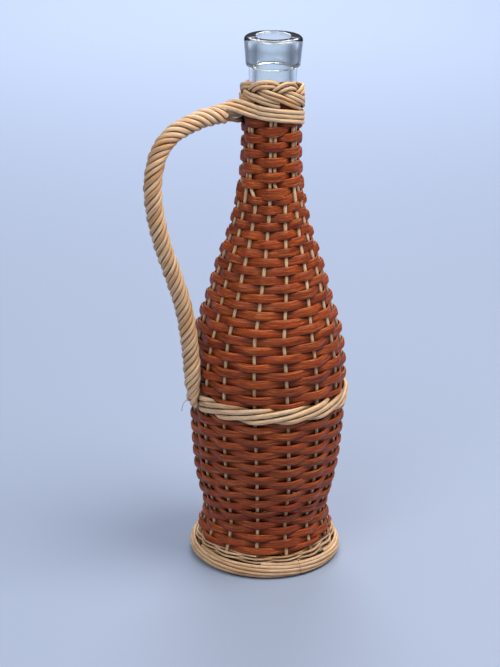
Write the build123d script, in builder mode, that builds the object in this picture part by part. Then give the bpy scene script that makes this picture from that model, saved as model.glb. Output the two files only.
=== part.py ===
"""A wicker-covered glass bottle with one arched handle, as separate pieces.

Millimetres, +Z up, origin on the bottle's axis at the surface it stands on.
The handle is on the -X side, in the XZ plane. Angles are in degrees about +Z
from +X. The glass bottle stands on a small woven base. Fifteen upright stakes
pass round it, and flat cane weavers go over one stake and under the next, all
the way up, in one long spiral. Every cane is its own solid.
"""

import math
import os

from build123d import *

os.makedirs("parts", exist_ok=True)

# Glass bottle
BOTTLE_TOP = 313.4  # rim above the floor
BOTTLE_FLOOR = 14.0  # underside of the glass above the floor
GLASS_WALL = 3.2
GLASS_CLEAR = 0.3  # air between the glass and the weave
NECK_RADIUS = 12.2  # inside the wicker, from SHOULDER_END up to NECK_FLARE
SHOULDER_END, NECK_FLARE = 240.0, 262.0
NECK_TOP_RADIUS = 13.6  # just under the finish
NECK_TOP = 296.4
FINISH_STEP = 1.4  # height of the step from the neck to the finish
FINISH_FOOT_RADIUS = 15.25
FINISH_TOP_RADIUS = 16.4
LIP_ROUND = 2.4
MOUTH_RADIUS = 9.25  # 18.5 mm bore, for a tapered cork
MOUTH_BORE_LENGTH = 72.4
MOUTH_BEVEL = 1.0
HEEL_ROUND = 7.0
PUNT_RADIUS = 19.0
PUNT_RISE = 9.0
FLOOR_EDGE = 1.0  # step of the inside of the heel and of the punt against the outside
GLASS_HEIGHTS = (23, 34, 48, 64, 86, 110, 130, 148, 166, 184, 202, 214, 226)  # of the body's outline

# Outside of the woven jacket: height, radius
JACKET = (
    (0.0, 43.0), (13.0, 42.2), (22.0, 39.2), (32.0, 37.9), (42.0, 40.3),
    (56.0, 43.2), (80.0, 45.4), (108.0, 46.5), (126.0, 45.8), (143.0, 43.2),
    (160.0, 37.9), (182.0, 31.4), (202.0, 24.4), (222.0, 19.8), (242.0, 17.5),
    (256.0, 17.1), (292.0, 17.0),
)

# Canes
STAKE_RADIUS = 1.05
STAKE_COUNT = 15
STAKE_FOOT = 2.8
STAKE_TOP = 272.0
SNUG = 0.38  # air between a weaver and the stake that it crosses
COLUMN_SNUG = 0.12  # air between the stakes of a column
BODY_WEAVER, BODY_WEAVER_Z = 1.9, 108.0  # weaver thickness on the widest part of the body
NECK_WEAVER, NECK_WEAVER_Z = 0.7, 256.0  # and where it is pulled tight round the neck
MID_BULGE = 0.3  # how far the neck weaver stands out halfway between columns
COLUMN_EDGE = 0.5  # how far it runs past a column's outer stakes before it turns in
STAKE_STEP = 7.0  # height between the rings of a stake

# Stake angles as seen at three heights, left to right, and of the neck's columns
LOW_Z, LOW_SEEN = 59.0, (184.6, 207.8, 235.2, 261.5, 286.1, 311.3)
MID_Z, MID_SEEN = 147.0, (190.8, 207.5, 230.9, 255.0, 281.3, 305.3)
HIGH_Z, HIGH_SEEN = 222.0, (188.3, 214.4, 240.8, 269.4, 294.3, 313.4)
NECK_Z, COLUMNS_SEEN = 232.0, (191.3, 244.9, 297.8)
LAST_COLUMN = 500.0
COLUMN_STAKES = (2, 2, 2, 2, 2, 3, 2)  # stakes gathered in each column

# Weave
LOWER_PITCH, LOWER_ROW_Z = 3.99, 58.9  # row rise, height of a row at SHOWN_STAKE
UPPER_PITCH, UPPER_ROW_Z = 4.78, 146.8
SHOWN_STAKE = 2  # this stake lies in front of the weaver on those two rows
ROW_GAP = 0.3
WEAVER_TAIL = 0.45  # share of a gap that a weaver runs on past its last stake
FOOT_FROM, FOOT_PITCH, FOOT_ROWS, FOOT_WEAVER = 11.8, 2.8, 2, 1.5
LOWER_FROM, LOWER_TO = 18.0, 96.8
UPPER_FROM, UPPER_SPLICE, UPPER_TO = 111.6, 172.0, 226.0
OVER_STAKE = 2.4  # length for which the weaver above the splice lies level on a stake
NECK_TO, NECK_PITCH, NECK_CLEAR = 261.0, 4.35, 5.6  # top row, row rise, gap to the row below

# Band round the middle: four canes that each pass in front of three stakes, a step higher at
# each, and behind the fourth. (stakes passed, steps up, 1 in front of the stakes to -1 behind)
BAND_Z, BAND_STEP = 104.0, 3.15
BAND_CANES = 4
BAND_THICK, BAND_WIDE = 2.1, 2.8
BAND_BULGE = 0.3
BAND_RINGS = 8  # rings from one stake to the next
BAND_END = 0.1  # share of a gap left open between a cane's end and its start
BAND_PATH = (
    (0.0, 0.0, -1.0), (0.25, -0.5, -0.85), (0.5, -1.0, -0.3), (0.75, -1.1, 0.35), (1.0, -1.05, 0.95),
    (1.5, -0.53, 1.0), (2.0, 0.0, 1.0), (2.5, 0.53, 1.0), (3.0, 1.05, 0.95), (3.25, 1.1, 0.6),
    (3.5, 1.0, 0.0), (3.75, 0.55, -0.75), (4.0, 0.0, -1.0),
)

# Rolled foot border
BORDER_CANES = 5
BORDER_CANE = 2.35
BORDER_ROLL = ((41.4, 9.3), (43.4, 7.7), (43.7, 5.2), (42.7, 2.8), (40.6, 1.0), (38.1, 1.0))
BORDER_TURN, BORDER_RINGS = 358.0, 30

# Woven base under the glass
BASE_HOLE = 15.0
BASE_Z = 9.0  # underside of the base ring
BASE_STICK_RADIUS = 1.25
BASE_STICKS = 4
BASE_STICK_SPACING = 3.4
BASE_GAP = 0.05  # air between touching pieces of the base
BASE_SIDE_GAP = 0.8

# Collar, wraps: canes from the near side of the handle, once round the neck, to its far side
WRAP_THICK, WRAP_WIDE = 2.1, 2.45
WRAP_GAP = 2.6  # from one wrap up to the next
WRAP_RADIUS = 17.3
WRAP_RINGS = 56
# Lowest wrap round the neck: angle, height
WRAP_LINE = (
    (214.5, 271.3), (228.0, 270.8), (242.0, 270.4), (254.0, 269.9), (267.5, 269.3), (283.0, 268.4),
    (303.5, 267.0), (332.0, 265.0), (372.0, 264.7), (430.0, 264.6), (470.0, 264.7), (500.0, 264.9),
)
# Each wrap where it leaves the handle and where it comes back to it: angle, radius, height
WRAP_STARTS = (
    ((183.9, 29.1, 277.0), (190.0, 25.9, 275.5), (196.5, 22.9, 273.8), (205.0, 20.0, 272.4)),
    ((180.0, 26.5, 277.8), (188.0, 24.0, 277.0), (196.0, 21.6, 276.1), (205.0, 19.5, 275.0)),
    ((177.0, 24.3, 279.2), (187.0, 22.2, 278.9), (196.0, 20.3, 278.4), (205.0, 18.8, 277.6)),
)
WRAP_ENDS = (
    ((517.0, 18.8, 265.6), (525.0, 22.0, 266.8), (530.0, 25.5, 267.8), (534.0, 29.2, 268.3)),
    ((517.0, 18.8, 268.3), (525.0, 22.2, 269.8), (529.0, 25.8, 271.2), (532.0, 29.2, 272.0)),
    ((517.0, 18.8, 271.1), (526.0, 22.3, 273.1), (531.5, 25.9, 275.0), (535.5, 29.2, 276.0)),
)

# Collar, plait: two canes rise from each column, arch over the next one, pass under its canes and
# run down outside the two after that. The plait stands on a line and reaches up to another one,
# both as (angle, height). A cane's path: columns passed, share of that height, radius.
LOOP_THICK, LOOP_WIDE = 1.65, 1.85
LOOP_BUTT = 0.2  # from the top of a stake to the cane that goes on from it
LOOP_END, LAST_LOOP_END = 3.2, 3.4
LOOP_RINGS = 90
PLAIT_FOOT = (
    (187.0, 275.8), (214.0, 275.9), (242.0, 275.4), (267.0, 274.4), (303.0, 272.1), (332.0, 270.4),
    (372.0, 269.9), (430.0, 269.9), (470.0, 270.5), (500.0, 272.0), (525.0, 274.2), (547.0, 275.8),
)
PLAIT_CROWN = (
    (187.0, 288.7), (214.0, 290.4), (242.0, 290.9), (267.0, 290.3), (303.0, 287.9), (332.0, 286.0),
    (372.0, 285.0), (430.0, 284.8), (470.0, 285.0), (500.0, 285.6), (525.0, 286.9), (547.0, 288.7),
)
LOOP_LEFT = (
    (-0.082, 0.0, 14.75), (-0.085, 0.25, 14.7), (-0.08, 0.46, 14.7), (-0.05, 0.61, 15.2), (0.03, 0.735, 16.5),
    (0.13, 0.83, 17.3), (0.26, 0.92, 17.4), (0.45, 0.99, 17.2), (0.7, 1.01, 16.2), (0.92, 0.985, 15.0),
    (1.1, 0.925, 14.7), (1.3, 0.825, 14.7), (1.46, 0.74, 15.3), (1.64, 0.69, 16.7), (1.82, 0.65, 17.5),
    (2.1, 0.57, 17.9), (2.45, 0.455, 17.5), (2.85, 0.35, 17.2), (3.12, 0.3, 16.9), (3.4, 0.26, 15.6),
)
LOOP_RIGHT = (
    (0.082, 0.0, 14.75), (0.085, 0.2, 14.7), (0.095, 0.42, 14.7), (0.13, 0.56, 15.2), (0.2, 0.665, 16.5),
    (0.3, 0.74, 17.2), (0.42, 0.8, 17.3), (0.62, 0.85, 17.1), (0.82, 0.835, 16.0), (1.0, 0.805, 14.9),
    (1.15, 0.745, 14.7), (1.3, 0.66, 14.8), (1.45, 0.595, 15.7), (1.62, 0.55, 16.9), (1.8, 0.505, 17.5),
    (2.1, 0.42, 17.9), (2.45, 0.31, 17.5), (2.85, 0.205, 17.2), (3.12, 0.155, 17.0), (3.4, 0.11, 15.8),
)

# Handle: its line as (distance from the axis, height), from the neck down
HANDLE_LINE = (
    (20.2, 271.6), (28.0, 272.2), (35.0, 272.1), (43.0, 270.9), (50.0, 268.9), (60.6, 264.4),
    (68.2, 256.6), (72.5, 245.0), (73.4, 232.0), (71.4, 216.0), (67.2, 200.0), (61.3, 183.0),
    (56.6, 168.0), (53.4, 153.0), (51.5, 138.0), (50.4, 124.0), (50.2, 112.0), (50.2, 97.0),
)
HANDLE_POINTS = 16  # points of the line from one of those to the next
HANDLE_CANES = 6
HANDLE_CANE = 2.6
HANDLE_LAY = 26.0  # one turn of a cane round the core
HANDLE_LIFT = 0.15  # every second cane stands out by this much, the others lie in by it
HANDLE_FROM = 10.4  # where the canes start, past the wraps that leave the handle
HANDLE_TWIST = ((0.0, 4.05), (45.0, 3.8), (170.0, 3.7), (200.0, 1.6), (216.0, 1.6))  # distance, radius
HANDLE_CORE, HANDLE_CORE_LENGTH, CORE_RINGS = 4.2, 160.0, 54
HANDLE_RINGS = 14  # rings in one turn
HANDLE_ENDS = (215.0, 158.0, 207.0, 164.0, 199.0, 170.0)  # how far down each cane reaches


def through(knots, x):
    """Value at x of a smooth curve through the knots: cubic between neighbours, mean slopes."""
    knots = list(knots)
    x = min(max(x, knots[0][0]), knots[-1][0])
    steps = [(b[1] - a[1]) / (b[0] - a[0]) for a, b in zip(knots, knots[1:])]
    slopes = [steps[0]] + [(a + b) / 2 for a, b in zip(steps, steps[1:])] + [steps[-1]]
    i = max(j for j in range(len(steps)) if knots[j][0] <= x)
    run = knots[i + 1][0] - knots[i][0]
    t = (x - knots[i][0]) / run
    return (
        (1 + 2 * t) * (1 - t) ** 2 * knots[i][1]
        + t * (1 - t) ** 2 * run * slopes[i]
        + t * t * (3 - 2 * t) * knots[i + 1][1]
        - t * t * (1 - t) * run * slopes[i + 1]
    )


def polar(radius, angle, z):
    """Point at a radius and an angle in degrees round the bottle's axis."""
    return Vector(radius * math.cos(math.radians(angle)), radius * math.sin(math.radians(angle)), z)


def jacket(z):
    """Radius of the outside of the weave."""
    return through(JACKET, z)


def weaver(z):
    """Thickness of a weaver, thinner where the jacket is pulled tight."""
    tight = jacket(NECK_WEAVER_Z)
    share = (jacket(z) - tight) / (jacket(BODY_WEAVER_Z) - tight)
    return NECK_WEAVER + share * (BODY_WEAVER - NECK_WEAVER)


def stake_line(z):
    """Radius of the stakes' centre lines."""
    return jacket(z) - weaver(z) - SNUG - STAKE_RADIUS


def lining(z):
    """Radius of the inside of the weave."""
    return stake_line(z) - STAKE_RADIUS - SNUG - weaver(z)


def outward(angle, z):
    """Unit vector square to the jacket's wall."""
    slope = (stake_line(z + 1) - stake_line(z - 1)) / 2
    return (polar(1, angle, 0) - Vector(0, 0, slope)).normalized()


def all_stakes(seen):
    """Angles of all stakes: the seen ones, and the rest spread evenly round the back."""
    hidden = STAKE_COUNT - len(seen)
    gap = (seen[0] + 360 - seen[-1]) / (hidden + 1)
    return list(seen) + [seen[-1] + gap * (i + 1) for i in range(hidden)]


def neck_columns():
    """Angles of the seven columns in which the stakes are gathered round the neck."""
    hidden = len(COLUMN_STAKES) - len(COLUMNS_SEEN)
    gap = (LAST_COLUMN - COLUMNS_SEEN[-1]) / hidden
    return list(COLUMNS_SEEN) + [COLUMNS_SEEN[-1] + gap * (i + 1) for i in range(hidden)]


def neck_stakes():
    """Angles of the stakes round the neck, side by side in their columns."""
    beside = math.degrees((STAKE_RADIUS + COLUMN_SNUG / 2) / stake_line(STAKE_TOP))
    angles = []
    for column, count in zip(neck_columns(), COLUMN_STAKES):
        angles += [column + beside * (2 * i - count + 1) for i in range(count)]
    return angles


LEVELS = (
    (LOW_Z, all_stakes(LOW_SEEN)),
    (MID_Z, all_stakes(MID_SEEN)),
    (HIGH_Z, all_stakes(HIGH_SEEN)),
    (NECK_Z, neck_stakes()),
)


def stake_angle(stake, z):
    """Angle of a stake at a height, straight between the levels and steady past the ends."""
    turn, stake = divmod(stake, STAKE_COUNT)
    knots = [(height, angles[stake]) for height, angles in LEVELS]
    z = min(max(z, knots[0][0]), knots[-1][0])
    (z0, a0), (z1, a1) = next(pair for pair in zip(knots, knots[1:]) if z <= pair[1][0])
    return a0 + (a1 - a0) * (z - z0) / (z1 - z0) + 360 * turn


def cane(places, outs, thick, wide):
    """Solid of one cane: oval rings square to its path, thick along outs, joined by ruled faces."""
    rings = []
    for i, place in enumerate(places):
        before, after = places[max(i - 1, 0)], places[min(i + 1, len(places) - 1)]
        along = (after - before).normalized()
        out = (outs[i] - along * outs[i].dot(along)).normalized()
        with BuildSketch(Plane(origin=place, x_dir=out, z_dir=along)) as ring:
            Ellipse(thick[i] / 2, wide[i] / 2)
        rings.append(ring.sketch.face())
    sides = [Face.make_surface_from_curves(a.edge(), b.edge()) for a, b in zip(rings, rings[1:])]
    with BuildPart() as rod:
        add(Solid(Shell([rings[0], *sides, rings[-1]])))
    return rod.part


def write(part, name):
    """Label a finished piece and write its STEP file."""
    part.label = name
    export_step(part, f"parts/{name}.step")


# Glass bottle: revolved wall with a punt, a straight neck bore and a stepped finish
def glass_radius(z):
    """Outside of the glass where the wicker covers it."""
    return lining(z) - GLASS_CLEAR


def dome(reach, base):
    """Top, middle and edge of a ball's cap that rises PUNT_RISE over a base."""
    ball = (reach**2 + PUNT_RISE**2) / (2 * PUNT_RISE)
    half = math.asin(reach / ball) / 2
    low = base + PUNT_RISE - ball
    return (0, base + PUNT_RISE), (ball * math.sin(half), low + ball * math.cos(half)), (reach, base)


shoulder_end, neck_flare = (NECK_RADIUS, SHOULDER_END), (NECK_RADIUS, NECK_FLARE)
neck_top = (NECK_TOP_RADIUS, NECK_TOP)
finish_foot = (FINISH_FOOT_RADIUS, NECK_TOP + FINISH_STEP)
lip_foot = (FINISH_TOP_RADIUS, BOTTLE_TOP - LIP_ROUND)
lip_top = (FINISH_TOP_RADIUS - LIP_ROUND, BOTTLE_TOP)
bevel_top = (MOUTH_RADIUS + MOUTH_BEVEL, BOTTLE_TOP)
bore_top = (MOUTH_RADIUS, BOTTLE_TOP - MOUTH_BEVEL)
bore_foot = (MOUTH_RADIUS, bore_top[1] - MOUTH_BORE_LENGTH)
with BuildPart() as glass_bottle:
    with BuildSketch(Plane.XZ):
        with BuildLine():
            outside = [(glass_radius(z), z) for z in GLASS_HEIGHTS]
            inside = [(r - GLASS_WALL, z) for r, z in outside]
            heel = outside[0][0]
            ThreePointArc(*dome(PUNT_RADIUS, BOTTLE_FLOOR))
            Line((PUNT_RADIUS, BOTTLE_FLOOR), (heel - HEEL_ROUND, BOTTLE_FLOOR))
            TangentArc((heel - HEEL_ROUND, BOTTLE_FLOOR), outside[0], tangent=(1, 0))
            Spline(*outside, shoulder_end)
            Line(shoulder_end, neck_flare)
            Line(neck_flare, neck_top)
            TangentArc(neck_top, finish_foot, tangent=(0, 1))
            Line(finish_foot, lip_foot)
            TangentArc(lip_foot, lip_top, tangent=(0, 1))
            Line(lip_top, bevel_top)
            Line(bevel_top, bore_top)
            Line(bore_top, bore_foot)
            Spline(bore_foot, *reversed(inside))
            heel_in = (inside[0][0], inside[0][1] - FLOOR_EDGE)
            floor_in = (heel - HEEL_ROUND - GLASS_WALL / 2, BOTTLE_FLOOR + GLASS_WALL)
            inner_dome = dome(PUNT_RADIUS + FLOOR_EDGE, BOTTLE_FLOOR + GLASS_WALL)
            Line(inside[0], heel_in)
            TangentArc(heel_in, floor_in, tangent=(0, -1))
            Line(floor_in, inner_dome[2])
            ThreePointArc(*inner_dome)
            Line((0, BOTTLE_FLOOR + PUNT_RISE + GLASS_WALL), (0, BOTTLE_FLOOR + PUNT_RISE))
        make_face()
    revolve(axis=Axis.Z)
write(glass_bottle.part, "glass_bottle")

# Stakes: upright rods that lean a little and pair up at the neck
for stake in range(STAKE_COUNT):
    steps = round((STAKE_TOP - STAKE_FOOT) / STAKE_STEP)
    heights = [STAKE_FOOT + (STAKE_TOP - STAKE_FOOT) * i / steps for i in range(steps + 1)]
    places = [polar(stake_line(z), stake_angle(stake, z), z) for z in heights]
    outs = [outward(stake_angle(stake, z), z) for z in heights]
    size = [2 * STAKE_RADIUS] * len(places)
    write(cane(places, outs, size, size), f"stake_{stake + 1:02d}")


def gap_angle(crossing, z):
    """Angle of a place between two stakes, as a share of the gap past the first of them."""
    stake = math.floor(crossing)
    return stake_angle(stake, z) + (crossing - stake) * (stake_angle(stake + 1, z) - stake_angle(stake, z))


def woven(first, last, height_of, thick, wide, flat=0.0):
    """One weaver past stakes first to last: in front of every second stake, behind the others.

    Where flat is given, the weaver runs level with the wall for that length over each stake.
    """
    places, outs, thicks = [], [], []
    for crossing in (first - WEAVER_TAIL, *range(first, last + 1), last + WEAVER_TAIL):
        z = height_of(crossing)
        angle = gap_angle(crossing, z)
        body = thick or weaver(z)
        side = -1 if (crossing - SHOWN_STAKE) % 2 == 0 else 1
        at_stake = isinstance(crossing, int)
        spread = math.degrees(flat / 2 / stake_line(z))
        for beside in (-spread, spread) if flat and at_stake else (0,):
            out = outward(angle + beside, z)
            reach = side * (STAKE_RADIUS + SNUG + body / 2) if at_stake else 0
            places.append(polar(stake_line(z), angle + beside, z) + out * reach)
            outs.append(out)
            thicks.append(body)
    return cane(places, outs, thicks, [wide] * len(places))


def spiral(row_z, pitch):
    """Height of a weaver at a crossing, for a spiral with a row at row_z on SHOWN_STAKE."""
    return lambda crossing: row_z + pitch * (crossing - SHOWN_STAKE) / STAKE_COUNT


def crossing_at(z, row_z, pitch):
    """Number of the crossing that a spiral reaches at a height."""
    return SHOWN_STAKE + round((z - row_z) / pitch * STAKE_COUNT)


lower, upper = (LOWER_ROW_Z, LOWER_PITCH), (UPPER_ROW_Z, UPPER_PITCH)
splice = crossing_at(UPPER_SPLICE, *upper)
upper_last = crossing_at(UPPER_TO, *upper)
for name, rows, first, last, flat in (
    ("lower_weaver", lower, crossing_at(LOWER_FROM, *lower), crossing_at(LOWER_TO, *lower), 0),
    ("upper_weaver_1", upper, crossing_at(UPPER_FROM, *upper), splice - 1, 0),
    ("upper_weaver_2", upper, splice, upper_last, OVER_STAKE),
):
    write(woven(first, last, spiral(*rows), None, rows[1] - ROW_GAP, flat), name)

# Foot weaver: thin cane that ends where the lower weaver begins
foot_last = crossing_at(LOWER_FROM, *lower) - 1
foot_first = foot_last - FOOT_ROWS * STAKE_COUNT


def foot_rise(crossing):
    """Height of the foot weaver at a crossing."""
    return FOOT_FROM + FOOT_PITCH * (crossing - foot_first) / STAKE_COUNT


write(woven(foot_first, foot_last, foot_rise, FOOT_WEAVER, FOOT_PITCH - ROW_GAP), "foot_weaver")

# Neck weaver: over one column of stakes and under the next
columns = [sum(COLUMN_STAKES[:i]) for i in range(len(COLUMN_STAKES))]
lap = upper_last // STAKE_COUNT
past = [lap * STAKE_COUNT + first for first in columns] + [(lap + 1) * STAKE_COUNT]
start_column = next(i for i, first in enumerate(past) if first > upper_last)
start_z = UPPER_TO - UPPER_PITCH + NECK_CLEAR
places, outs = [], []
step, z = start_column, start_z
while z < NECK_TO:
    turn, column = divmod(step, len(columns))
    z = start_z + NECK_PITCH * (step - start_column) / len(columns)
    side = 1 if (step - start_column) % 2 == 0 else -1
    first = (lap + turn) * STAKE_COUNT + columns[column]
    last = first + COLUMN_STAKES[column] - 1
    reach = side * (STAKE_RADIUS + SNUG + NECK_WEAVER / 2)
    edge = math.degrees(COLUMN_EDGE / stake_line(z))
    ends = stake_angle(first, z) - edge, stake_angle(last, z) + edge
    between = (stake_angle(last, z) + stake_angle(last + 1, z)) / 2
    for angle, offset in ((ends[0], reach), (sum(ends) / 2, reach), (ends[1], reach), (between, MID_BULGE)):
        places.append(polar(stake_line(z), angle, z) + outward(angle, z) * offset)
        outs.append(outward(angle, z))
    step += 1
size = len(places)
write(cane(places, outs, [NECK_WEAVER] * size, [NECK_PITCH - ROW_GAP] * size), "neck_weaver")

# Band: each cane starts and ends behind the handle
band_reach = STAKE_RADIUS + SNUG + BAND_THICK / 2
for index in range(BAND_CANES):
    places, outs = [], []
    count = BAND_RINGS * STAKE_COUNT
    for i in range(count + 1):
        along = (STAKE_COUNT - BAND_END) * i / count
        phase = (along + index) % BAND_CANES
        z = BAND_Z + BAND_STEP * through([(p, step) for p, step, side in BAND_PATH], phase)
        side = through([(p, side) for p, step, side in BAND_PATH], phase)
        reach = side * band_reach + max(side, 0) * BAND_BULGE
        angle = gap_angle(along, z)
        places.append(polar(stake_line(BAND_Z) + reach, angle, z))
        outs.append(polar(1, angle, 0))
    size = len(places)
    write(cane(places, outs, [BAND_THICK] * size, [BAND_WIDE] * size), f"band_cane_{index + 1}")

# Foot border: five canes that each roll over from the inner top to the outer bottom in one turn
for index in range(BORDER_CANES):
    start = index * 360 / BORDER_CANES
    shares = [i / BORDER_RINGS for i in range(BORDER_RINGS + 1)]
    rolls = [share * (len(BORDER_ROLL) - 1) for share in shares]
    radii = [through(enumerate(r for r, z in BORDER_ROLL), t) for t in rolls]
    heights = [through(enumerate(z for r, z in BORDER_ROLL), t) for t in rolls]
    angles = [start + BORDER_TURN * share for share in shares]
    places = [polar(r, a, z) for r, a, z in zip(radii, angles, heights)]
    outs = [polar(1, a, 0) for a in angles]
    size = [BORDER_CANE] * len(places)
    with BuildPart() as border_cane:
        add(cane(places, outs, size, size))
        split(bisect_by=Plane.XY, keep=Keep.TOP)
    write(border_cane.part, f"border_cane_{index + 1}")


# Woven base under the glass: four sticks crossing four, with a woven ring threaded on them
stick_reach = lining(BOTTLE_FLOOR) - BASE_SIDE_GAP
ring_top = BOTTLE_FLOOR - BASE_GAP
stick_high = ring_top - BASE_STICK_RADIUS
stick_low = stick_high - 2 * BASE_STICK_RADIUS - BASE_GAP
for name, z, turn in (("base_sticks_lower", stick_low, 0), ("base_sticks_upper", stick_high, 90)):
    along = polar(1, turn, 0)
    with BuildPart() as base_sticks:
        with BuildSketch(Plane(origin=Vector(0, 0, z) - along * stick_reach, x_dir=(0, 0, 1), z_dir=along)):
            with GridLocations(1, BASE_STICK_SPACING, 1, BASE_STICKS):
                Circle(BASE_STICK_RADIUS)
        extrude(amount=2 * stick_reach)
    write(base_sticks.part, name)

with BuildPart() as base_ring:
    with BuildSketch(Plane.XY.offset(BASE_Z)):
        Circle(stick_reach)
        Circle(BASE_HOLE, mode=Mode.SUBTRACT)
    extrude(amount=ring_top - BASE_Z)
    for z, turn in ((stick_low, 0), (stick_high, 90)):
        along = polar(1, turn, 0)
        start = Vector(0, 0, z) - along * 2 * stick_reach
        with BuildSketch(Plane(origin=start, x_dir=(0, 0, 1), z_dir=along)):
            with GridLocations(1, BASE_STICK_SPACING, 1, BASE_STICKS):
                Circle(BASE_STICK_RADIUS + BASE_GAP)
        extrude(amount=4 * stick_reach, mode=Mode.SUBTRACT)
write(base_ring.part, "base_ring")

# Collar wraps
for index, (start, end) in enumerate(zip(WRAP_STARTS, WRAP_ENDS)):
    round_neck = [(angle, WRAP_RADIUS, z + index * WRAP_GAP) for angle, z in WRAP_LINE]
    knots = [*start, *round_neck, *end]
    places, outs = [], []
    for i in range(WRAP_RINGS + 1):
        step = (len(knots) - 1) * i / WRAP_RINGS
        angle, radius, z = (through(enumerate(values), step) for values in zip(*knots))
        places.append(polar(radius, angle, z))
        outs.append(polar(1, angle, 0))
    size = len(places)
    write(cane(places, outs, [WRAP_THICK] * size, [WRAP_WIDE] * size), f"collar_wrap_{index + 1}")


# Collar plait
def column_angle(column):
    """Angle of a place between the columns, counted in columns from the first one."""
    turn, number = divmod(math.floor(column), len(COLUMN_STAKES))
    here, after = (neck_columns() + [neck_columns()[0] + 360])[number:number + 2]
    return here + (after - here) * (column - math.floor(column)) + 360 * turn


def round_neck_height(line, angle):
    """Height of a line round the neck at an angle."""
    return through(line, line[0][0] + (angle - line[0][0]) % 360)


def loop_place(column, path, step):
    """Angle, radius and height of one cane of the plait, a number of knots along its path."""
    passed, share, radius = (through(enumerate(values), step) for values in zip(*path))
    angle = column_angle(column + passed)
    foot, crown = round_neck_height(PLAIT_FOOT, angle), round_neck_height(PLAIT_CROWN, angle)
    z = foot + (crown - foot) * share
    butt = STAKE_TOP + LOOP_BUTT
    if step < 1:
        z = butt + (foot + (crown - foot) * path[1][1] - butt) * step
    return passed, angle, radius, z


for column in range(len(COLUMN_STAKES)):
    loop_end = LAST_LOOP_END if column == len(COLUMN_STAKES) - 1 else LOOP_END
    solids = []
    for path in (LOOP_LEFT, LOOP_RIGHT):
        places, outs = [], []
        for i in range(LOOP_RINGS + 1):
            passed, angle, radius, z = loop_place(column, path, (len(path) - 1) * i / LOOP_RINGS)
            if passed <= loop_end:
                places.append(polar(radius, angle, z))
                outs.append(polar(1, angle, 0))
        size = len(places)
        solids += cane(places, outs, [LOOP_THICK] * size, [LOOP_WIDE] * size).solids()
    write(Part(Compound(solids).wrapped), f"collar_loop_{column + 1}")


# Handle: a core cane inside canes laid round it in a right-handed twist
def handle_track():
    """Points about a millimetre apart along the handle's line."""
    count = HANDLE_POINTS * (len(HANDLE_LINE) - 1)
    places = []
    for i in range(count + 1):
        reach, z = (through(enumerate(values), i / HANDLE_POINTS) for values in zip(*HANDLE_LINE))
        places.append(Vector(-reach, 0, z))
    return places


track = handle_track()
lengths = [0.0]
for a, b in zip(track, track[1:]):
    lengths.append(lengths[-1] + (b - a).length)


def on_handle(distance):
    """Place, direction and outward normal of the handle's line, a distance from the neck."""
    i = max(j for j in range(len(lengths) - 1) if lengths[j] <= distance)
    share = (distance - lengths[i]) / (lengths[i + 1] - lengths[i])
    place = track[i] + (track[i + 1] - track[i]) * share
    before, after = track[max(i - 3, 0)], track[min(i + 4, len(track) - 1)]
    along = (after - before).normalized()
    return place, along, along.cross(Vector(0, 1, 0))


places = [on_handle(HANDLE_CORE_LENGTH * i / CORE_RINGS)[0] for i in range(CORE_RINGS + 1)]
outs = [on_handle(HANDLE_CORE_LENGTH * i / CORE_RINGS)[2] for i in range(CORE_RINGS + 1)]
size = [HANDLE_CORE] * len(places)
write(cane(places, outs, size, size), "handle_core")
for index, end in enumerate(HANDLE_ENDS):
    count = round((end - HANDLE_FROM) / HANDLE_LAY * HANDLE_RINGS)
    lift = HANDLE_LIFT if index % 2 == 0 else -HANDLE_LIFT
    places, outs = [], []
    for i in range(count + 1):
        distance = HANDLE_FROM + (end - HANDLE_FROM) * i / count
        centre, along, normal = on_handle(distance)
        twist = 2 * math.pi * (distance / HANDLE_LAY + index / HANDLE_CANES)
        out = normal * math.cos(twist) + along.cross(normal) * math.sin(twist)
        places.append(centre + out * (through(HANDLE_TWIST, distance) + lift))
        outs.append(out)
    size = [HANDLE_CANE] * len(places)
    write(cane(places, outs, size, size), f"handle_cane_{index + 1}")
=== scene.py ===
"""Looks of a wicker-covered glass bottle with one arched handle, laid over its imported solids.

Inside the functions lengths are millimetres and angles are degrees about +Z from +X, as in the
solids' own source. Meshes are written in metres. The handle is on the -X side. Every cane is an
oval profile carried along its own path, worked out with numpy for all of its points at once.
"""

import math

import bpy
import numpy as np
from mathutils import Matrix


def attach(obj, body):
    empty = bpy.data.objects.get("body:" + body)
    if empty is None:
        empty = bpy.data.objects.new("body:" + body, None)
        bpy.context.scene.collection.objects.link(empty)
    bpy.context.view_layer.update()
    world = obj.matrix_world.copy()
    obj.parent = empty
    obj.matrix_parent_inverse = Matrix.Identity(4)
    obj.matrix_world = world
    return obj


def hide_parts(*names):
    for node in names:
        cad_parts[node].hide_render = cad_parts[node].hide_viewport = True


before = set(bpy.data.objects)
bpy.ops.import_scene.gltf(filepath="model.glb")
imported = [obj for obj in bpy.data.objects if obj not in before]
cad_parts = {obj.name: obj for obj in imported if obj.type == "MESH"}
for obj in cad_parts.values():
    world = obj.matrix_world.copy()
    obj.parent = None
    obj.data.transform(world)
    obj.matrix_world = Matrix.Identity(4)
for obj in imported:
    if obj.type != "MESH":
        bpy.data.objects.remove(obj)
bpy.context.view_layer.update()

MILLIMETRE = 0.001

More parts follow.
